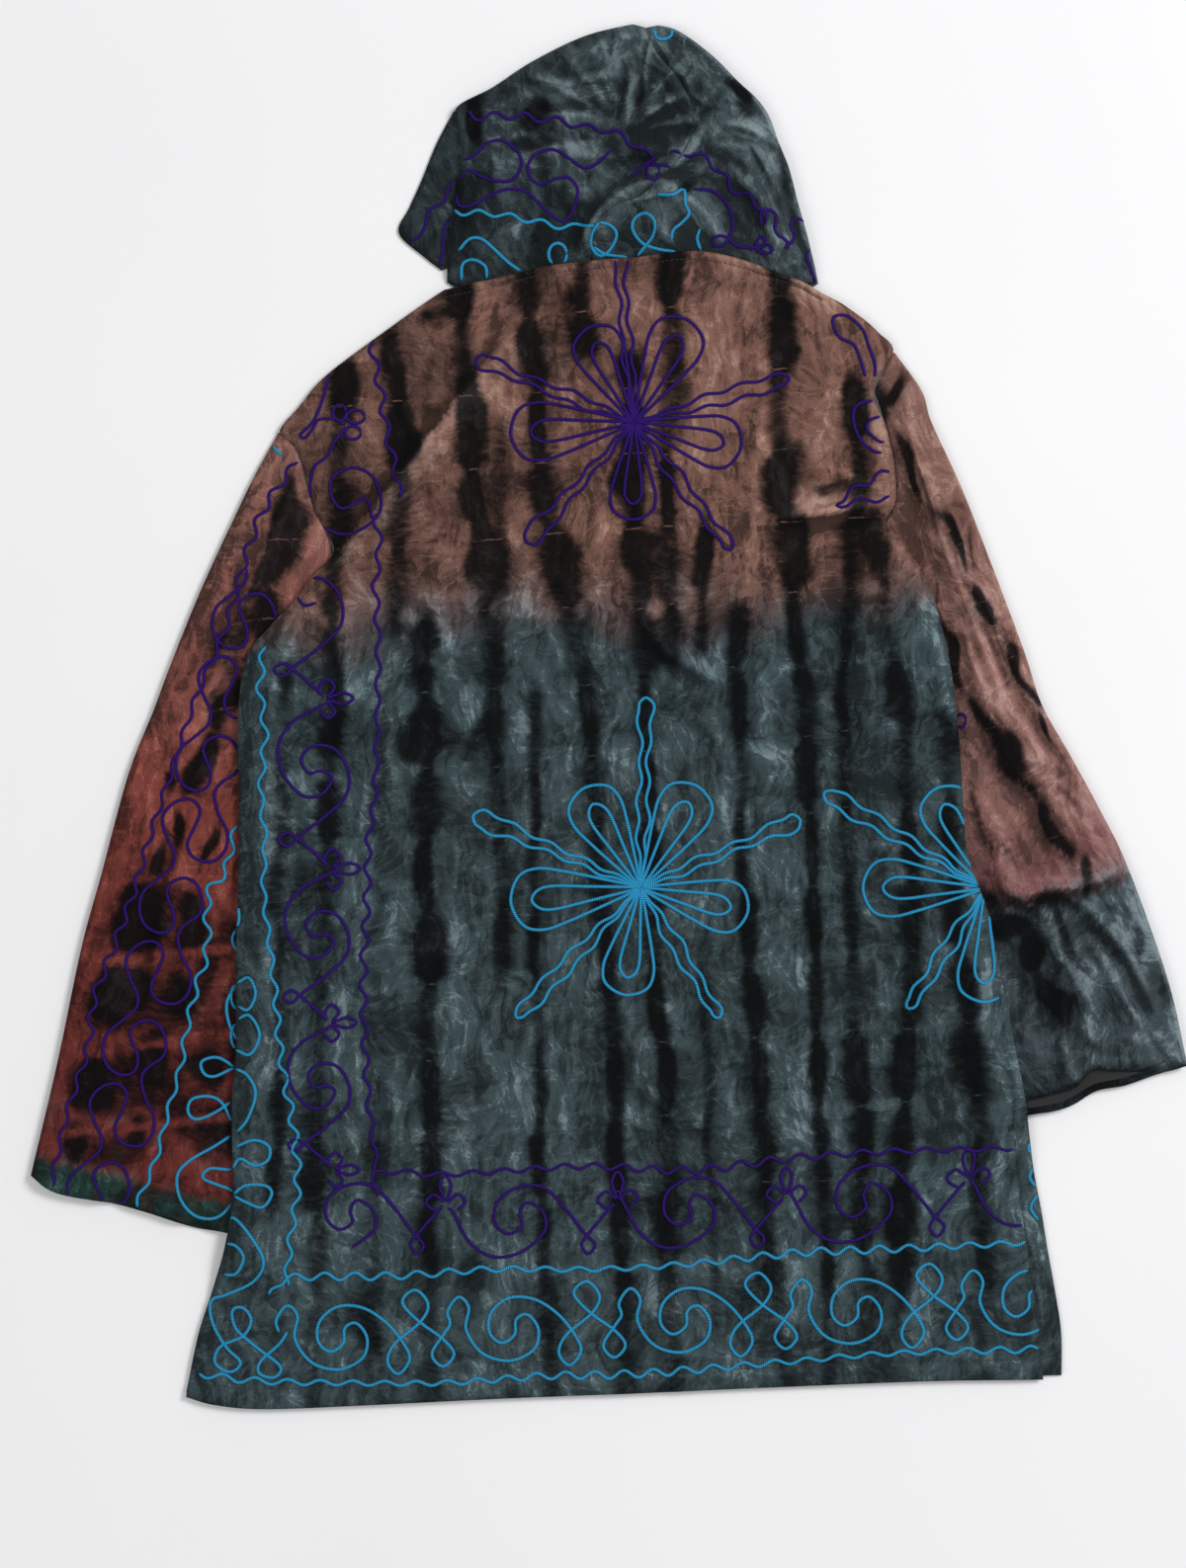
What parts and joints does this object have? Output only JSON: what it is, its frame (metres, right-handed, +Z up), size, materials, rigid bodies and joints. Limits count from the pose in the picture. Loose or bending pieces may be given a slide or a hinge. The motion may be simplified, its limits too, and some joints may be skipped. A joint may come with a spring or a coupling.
{
  "type": "hooded zip jacket",
  "caption": "Hooded velvet zip jacket laid flat on its front, back upwards, with spread sleeves and a crumpled hood.",
  "frame": {"origin": "middle of the jacket's box in plan, on the surface it lies on", "axes": "+Z up off the surface, +Y from the hem to the hood, +X towards the wearer's right sleeve"},
  "size_m": [0.867, 1.0366, 0.0225],
  "materials": {
    "velvet": "crushed velvet, tie-dyed grey teal, mauve and brown with black bars",
    "sleeve_velvet": "crushed velvet, tie-dyed red brown and grey",
    "hood_velvet": "crushed velvet, tie-dyed grey teal",
    "lining": "plain black woven lining",
    "tape": "woven zip tape",
    "chain": "moulded zip chain",
    "zip_metal": "plain metal"
  },
  "bodies": {
    "jacket": {"back_panel": "velvet", "front_left": "velvet", "front_right": "velvet", "sleeve_left": "sleeve_velvet", "sleeve_right": "sleeve_velvet", "lining_right_cuff": "lining", "hood_left": "hood_velvet", "hood_right": "hood_velvet", "zip_tape_left": "tape", "zip_tape_right": "tape", "zip_chain": "chain", "zip_slider": "zip_metal"},
    "pull_tab": {"zip_pull_tab": "zip_metal"}
  },
  "joints": [
    {"name": "pull_tab_hinge", "type": "hinge", "parent": "jacket", "child": "pull_tab", "pos_m": [0.0175, 0.2538, 0.0022], "axis": [1, 0, 0], "range_deg": [0, 165]}
  ]
}
